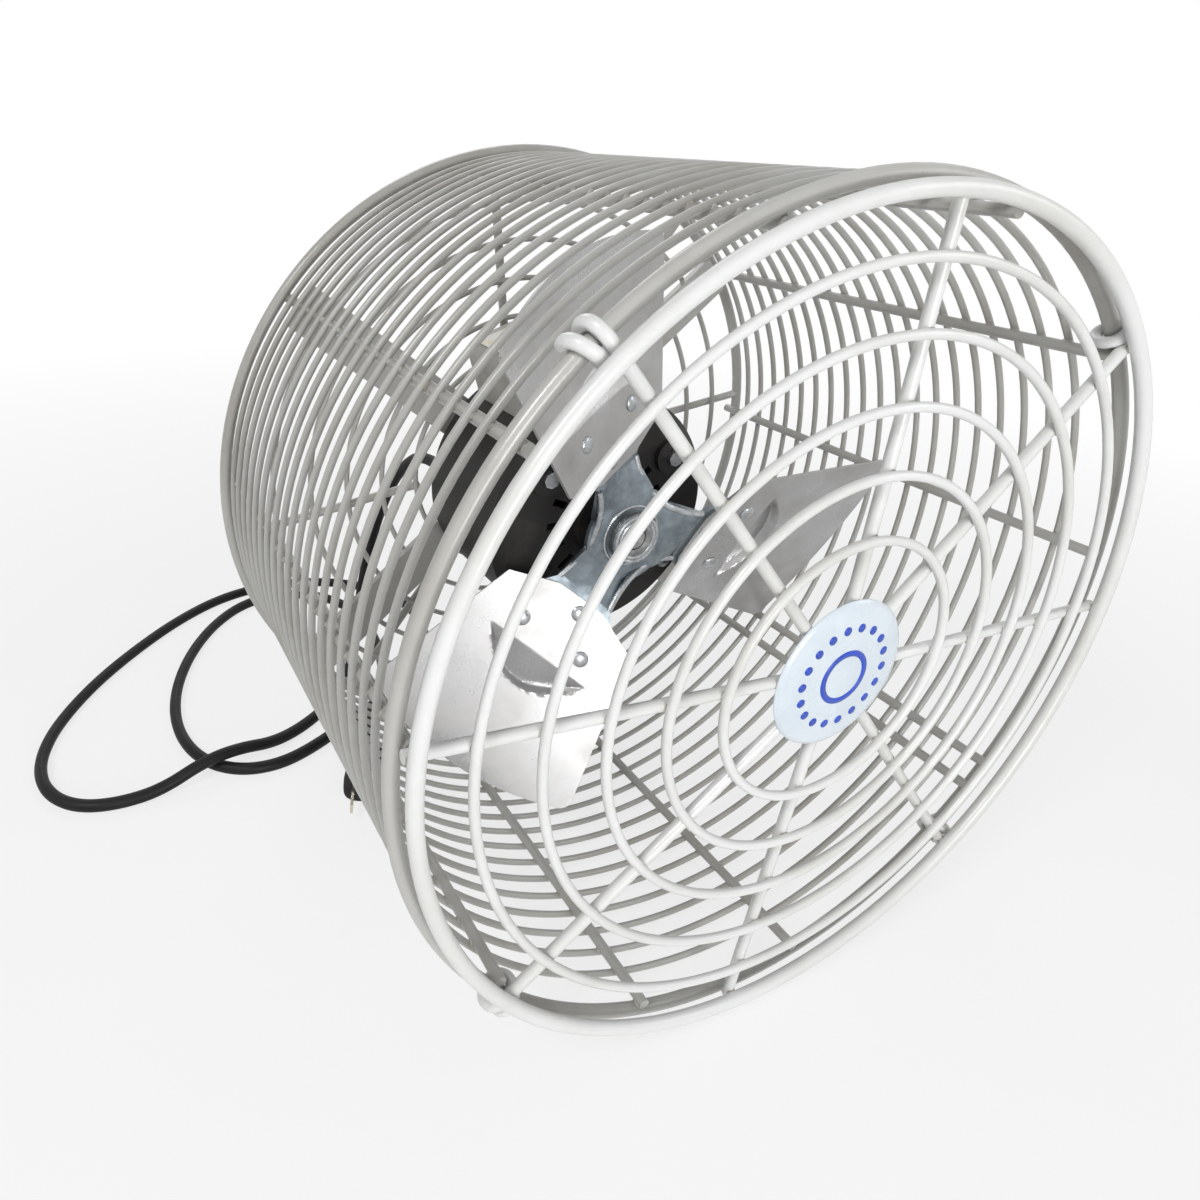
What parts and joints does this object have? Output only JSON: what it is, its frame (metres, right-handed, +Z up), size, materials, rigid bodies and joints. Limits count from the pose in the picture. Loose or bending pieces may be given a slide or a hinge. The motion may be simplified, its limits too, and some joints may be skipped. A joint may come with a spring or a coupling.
{
  "type": "caged air circulation fan",
  "caption": "Drum-shaped wire cage fan with a hooked-on front guard, riveted sheet metal blades on a bare motor, and a cord and plug lying on the floor.",
  "frame": {"origin": "on the floor, under the middle of the cage", "axes": "+Z up, -Y the way the front guard faces and the air leaves, +X to the right as seen from the front; the fan turns about an axis along Y"},
  "size_m": [0.4901, 0.4806, 0.3735],
  "materials": {
    "cage_paint": "off-white powder coat over welded steel wire",
    "guard_paint": "off-white powder coat over welded steel wire",
    "badge_paint": "pale bluish white enamel",
    "blade_aluminium": "bright rolled aluminium sheet",
    "spider_steel": "zinc plated, bluish",
    "motor_paint": "satin black",
    "zinc": "zinc plated",
    "turned_steel": "turned, bare",
    "lamination": "stacked laminations",
    "box_steel": "light grey",
    "can": "drawn can",
    "rivet_steel": "bright",
    "cord_rubber": "matte black jacket",
    "plug_vinyl": "moulded black vinyl",
    "prong_brass": "plated"
  },
  "bodies": {
    "cage": {"cage_drum": "cage_paint", "front_rim": "cage_paint", "rear_rim": "cage_paint", "front_guard_rim": "guard_paint", "front_guard_grille": "guard_paint", "front_guard_hooks": "guard_paint", "guard_badge": "badge_paint", "rear_guard": "cage_paint", "motor_shell": "motor_paint", "front_end_bell": "motor_paint", "rear_end_bell": "motor_paint", "stator": "lamination", "front_bearing": "turned_steel", "rear_bearing": "turned_steel", "through_bolts": "zinc", "mount_nuts": "zinc", "mount_spacers": "zinc", "mount_bar_inner": "cage_paint", "mount_bar_outer": "cage_paint", "capacitor_box": "box_steel", "capacitor": "can", "strain_relief": "plug_vinyl", "power_cord": "cord_rubber", "plug_body": "plug_vinyl", "plug_prongs": "prong_brass"},
    "rotor": {"motor_shaft": "turned_steel", "rotor_core": "lamination", "hub": "turned_steel", "hub_set_screws": "zinc", "blade_spider": "spider_steel", "blade_1": "blade_aluminium", "blade_2": "blade_aluminium", "blade_3": "blade_aluminium", "blade_rivets": "rivet_steel"}
  },
  "joints": [
    {"name": "rotor_spin", "type": "hinge", "parent": "cage", "child": "rotor", "pos_m": [0, 0.00557, 0.18675], "axis": [0, 1, 0], "continuous": true}
  ]
}
